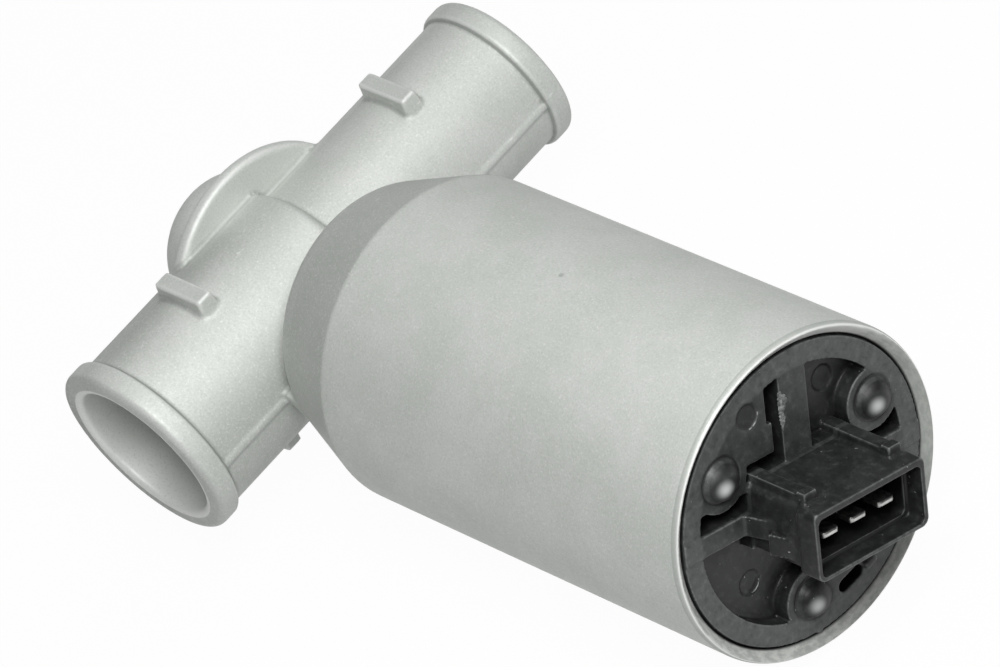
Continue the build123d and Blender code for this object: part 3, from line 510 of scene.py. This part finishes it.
finishes = {
    "cast_alloy": castAlloy(),
    "black_moulding": blackMoulding(),
    "seal_rubber": simpleMetal("sealRubber", "#141414", "#1E1E1E", 0.55, 0.6, 0.0),
    "tinned_contact": simpleMetal("tinnedContact", "#B4B5B3", "#D8D8D5", 0.32, 0.8, 1.0, 0.003),
    "plain_steel": simpleMetal("plainSteel", "#8B8B89", "#A4A4A2", 0.32, 0.8),
    "ferrite": simpleMetal("ferrite", "#2E2E30", "#3C3C3E", 0.6, 0.5, 0.2),
    "bearing_steel": simpleMetal("bearingSteel", "#BDBDBF", "#D0D0D2", 0.12, 1.5),
    "carbon": simpleMetal("carbon", "#1A1A1A", "#2A2A2A", 0.6, 0.3, 0.1),
    "spring_bronze": simpleMetal("springBronze", "#A87A4A", "#C09562", 0.28, 0.7),
    "slide_plastic": simpleMetal("slidePlastic", "#2B221B", "#3A2F26", 0.45, 0.9, 0.0),
    "insulating_sheet": simpleMetal("insulatingSheet", "#7A2E1E", "#93402C", 0.55, 0.9, 0.0),
    "copper": simpleMetal("copperWire", "#9C5530", "#BF7347", 0.34, 0.25, 1.0, 0.04),
}
print("finishes made")

# Valve housing: a soft cast front, and a turned canister that meets it in one plane
castFront = {
    "end": 38 * mm, "joint": 35 * mm, "plainWearAndShade": 0.5,
    "voxel": 0.29 * mm, "rounds": 4, "keep": 0.28,
    "seam": 0.17 * mm,          # radius of the ridge left where the die halves met
    "seams": [(13.75, -31.0, -9.0), (11.75, 14.0, 39.0)],   # distance from the stub's axis, start, end
    "seamSteps": 24,
    "wander": [(0.07, 1.7), (0.04, 3.1)],       # how far a seam strays, and how quickly
    # line at the neck's foot: the stub's radius, the neck's radius at one x and its slope, top and steps
    "footRadius": 13.8, "neckRadius": 10.1, "neckAt": 10.6, "neckSlope": 1.68,
    "footTop": 7.5, "footStep": 0.75, "footSteps": 17,
}
front = copyOfNode("valve_housing", "valveHousing")
cutAway(front, castFront["end"], past=True, fill=True)
soften(front, castFront["voxel"], castFront["rounds"], castFront["keep"])
cutAway(front, castFront["joint"], past=True, fill=True)

ridges = []
for out, start, end in castFront["seams"]:
    for side in (-1, 1):
        line = []
        for step in range(castFront["seamSteps"] + 1):
            drift = sum(reach * math.sin(step * pace) for reach, pace in castFront["wander"])
            y = start + (end - start) * step / castFront["seamSteps"]
            line.append((side * out * mm, y * mm, drift * mm))
        ridges.append(rope("seam", line, castFront["seam"]))
foot = []
for step in range(castFront["footSteps"]):
    z = castFront["footTop"] - step * castFront["footStep"]
    x = math.sqrt(castFront["footRadius"] ** 2 - z * z)
    reach = castFront["neckRadius"] + castFront["neckSlope"] * (x - castFront["neckAt"])
    foot.append((x * mm, -math.sqrt(reach ** 2 - z * z) * mm, z * mm))
ridges.append(rope("footLine", foot, castFront["seam"]))
for ridge in ridges:
    markWearAndShade(ridge, 0)

barrelShape = {
    "steps": 256,
    "corners": [    # x and radius in millimetres, outside first
        (35, 23.25), (60, 23.25), (90, 23.25), (97.8, 23.25), (98.5, 23.25), (98.9, 23.22), (99.2, 23.12),
        (99.4, 22.98), (99.5, 22.84), (99.46, 22.72), (99.3, 22.52), (98.9, 22.1), (98.45, 21.62),
        (98.2, 21.43), (97.8, 21.4), (90, 21.4), (35, 21.4), (35, 23.25),
    ],
}
barrel = spun("canister", barrelShape["corners"], barrelShape["steps"])
facesOutward(barrel)
markWearAndShade(barrel, 0)
facesOutward(front)
joinInto(front, [barrel, *ridges])
evenWearAndShade(front, castFront["plainWearAndShade"], castFront["joint"] - mm, castFront["joint"] + mm)
smoothShade(front, 60)
dress(front, finishes["cast_alloy"])
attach(front, "housing")
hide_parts("valve_housing")
print("valve housing", len(front.data.polygons), "faces")

# End cap with the connector
capShape = {
    "turn": math.radians(-22.9),    # turn of the connector about the motor axis
    "voxel": 0.20 * mm, "rounds": 2, "keep": 0.42,
    "face": 98.65,                  # the cap's face along the axis
    "domes": [(13.64, 7.875), (-13.64, 7.875), (0, -15.75)],
    "domeRadius": 2.75, "domeHeight": 1.95, "domeSteps": 12, "domeSides": 48,
    "ditch": 0.24, "ditchEdge": 3.52, "ditchGap": 0.05,     # depth, outer radius, room at the dome's foot
    "root": 1.0, "rootRadius": 3.55,                        # the part of a dome inside the plate
    "tabPlace": (98.9, 10.2, -14.9), "tabSize": (0.9, 2.2, 1.2), "tabTurn": 25, "tabRound": 0.3,
}
cap = copyOfNode("end_cap", "endCap")
cap.data.transform(Matrix.Rotation(-capShape["turn"], 4, "X"))
extras = []
for u, v in capShape["domes"]:
    face, radius = capShape["face"], capShape["domeRadius"]
    bottom, floorLevel = face - capShape["root"], face - capShape["ditch"]
    corners = [(bottom, 0), (bottom, capShape["rootRadius"]), (floorLevel, capShape["ditchEdge"]),
               (floorLevel, radius + capShape["ditchGap"])]
    for step in range(capShape["domeSteps"] + 1):
        angle = math.radians(90 * step / capShape["domeSteps"])
        corners.append((face + capShape["domeHeight"] * math.sin(angle), radius * math.cos(angle)))
    dome = spun("dome", corners, capShape["domeSides"])
    dome.data.transform(Matrix.Translation((0, u * mm, v * mm)))
    facesOutward(dome)
    extras.append(dome)
clearSelection()
bpy.ops.mesh.primitive_cube_add(size=1)
tab = bpy.context.active_object
tab.data.transform(Matrix.Translation(Vector(capShape["tabPlace"]) * mm)
                   @ Matrix.Rotation(math.radians(capShape["tabTurn"]), 4, "X")
                   @ Matrix.Diagonal((*(value * mm for value in capShape["tabSize"]), 1)))
applyModifier(tab, "BEVEL", width=capShape["tabRound"] * mm, segments=3)
extras.append(tab)
joinInto(cap, extras)
soften(cap, capShape["voxel"], capShape["rounds"], capShape["keep"])
cap.data.transform(Matrix.Rotation(capShape["turn"], 4, "X"))
smoothShade(cap, 60)
dress(cap, finishes["black_moulding"])
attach(cap, "housing")
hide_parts("end_cap")
print("end cap", len(cap.data.polygons), "faces")

# Torn flash at the slit, and pale arcs on the pin marks' rims that are a painted highlight
flashAndHighlightShape = {
    "level": 98.62, "thick": 0.16, "overlap": 0.8, "voxel": 0.07 * mm,
    # u, v and half width of the torn edge, down the slit
    "flash": [(-2.5, 15.79, 0.2), (-2.2, 15.2, 0.6), (-1.9, 14.69, 0.95), (-2.0, 13.9, 0.9),
              (-2.3, 13.1, 0.5), (-2.4, 12.66, 0.35), (-2.2, 12.1, 0.6), (-2.1, 11.67, 0.6),
              (-2.3, 11.0, 0.3), (-2.34, 10.32, 0.12)],
    "arcs": [((-8.19, 14.78), 98.62, 1.85), ((-8.31, -10.64), 96.05, 1.5)],     # centre, x, radius
    "arcStart": -85, "arcEnd": 0, "arcSteps": 16,       # degrees, steps
    "line": 0.09 * mm,
}
scuffs = []
for first, second in zip(flashAndHighlightShape["flash"], flashAndHighlightShape["flash"][1:]):
    u, v, size = first
    clearSelection()
    bpy.ops.mesh.primitive_uv_sphere_add(segments=12, ring_count=8, radius=1)
    lump = bpy.context.active_object
    middle = Vector((flashAndHighlightShape["level"], (u + second[0]) / 2, (v + second[1]) / 2)) * mm
    stretch = (flashAndHighlightShape["thick"] * mm, (size + second[2]) / 2 * mm,
               abs(v - second[1]) * flashAndHighlightShape["overlap"] * mm)
    lump.data.transform(Matrix.Translation(middle) @ Matrix.Diagonal((*stretch, 1)))
    scuffs.append(lump)
flash = scuffs.pop()
flash.name = flash.data.name = "tornFlash"
joinInto(flash, scuffs)
applyModifier(flash, "REMESH", mode="VOXEL", voxel_size=flashAndHighlightShape["voxel"])
# pale quarter arcs on the pin marks' rims: a painted highlight
arcs = []
for (u, v), level, size in flashAndHighlightShape["arcs"]:
    line = []
    sweep = flashAndHighlightShape["arcEnd"] - flashAndHighlightShape["arcStart"]
    for step in range(flashAndHighlightShape["arcSteps"] + 1):
        angle = math.radians(flashAndHighlightShape["arcStart"] + sweep * step / flashAndHighlightShape["arcSteps"])
        line.append((level * mm, (u + size * math.cos(angle)) * mm, (v + size * math.sin(angle)) * mm))
    arcs.append(rope("arc", line, flashAndHighlightShape["line"]))
joinInto(flash, arcs)
flash.data.transform(Matrix.Rotation(capShape["turn"], 4, "X"))
facesOutward(flash)
smoothShade(flash, 60)
dress(flash, tornPlasticAndHighlight())
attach(flash, "housing")
print("flash and scuffs", len(flash.data.polygons), "faces")

# Terminal blades, with edges eased by the stamping tool
bladeShape = {"ease": 0.10 * mm}
for side in ("left", "middle", "right"):
    blade = copyOfNode("terminal_blade_" + side, side + "Blade")
    applyModifier(blade, "BEVEL", width=bladeShape["ease"], segments=2, limit_method="ANGLE")
    smoothShade(blade, 40)
    dress(blade, finishes["tinned_contact"])
    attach(blade, "housing")
    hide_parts("terminal_blade_" + side)
print("terminal blades made")

# Finishes of the carried-over pieces
inside = {
    "cast_alloy": ["seal_carrier"],
    "black_moulding": ["cap_bearing_cage", "nose_bearing_cage"],
    "seal_rubber": ["cap_seal", "shaft_seal"],
    "plain_steel": ["flux_sleeve", "magnet_springs", "preload_washer", "bearing_shield", "stop_pin",
                    "stop_sector", "slide_clip", "armature_core"],
    "ferrite": ["magnet_upper", "magnet_lower"],
    "bearing_steel": ["nose_bearing_outer", "nose_bearing_inner", "nose_bearing_balls", "cap_bearing_outer",
                      "cap_bearing_inner", "cap_bearing_balls", "rotor_shaft"],
    "carbon": ["brush_left", "brush_middle", "brush_right"],
    "spring_bronze": ["brush_spring_left", "brush_spring_middle", "brush_spring_right"],
    "slide_plastic": ["rotary_slide", "brush_holder", "contact_hub"],
    "insulating_sheet": ["end_plate_rear", "end_plate_front"],
    "copper": ["winding_opening", "winding_closing", "contact_segments"],
}
for slot, nodes in inside.items():
    for node in nodes:
        dress(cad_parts[node], finishes[slot])
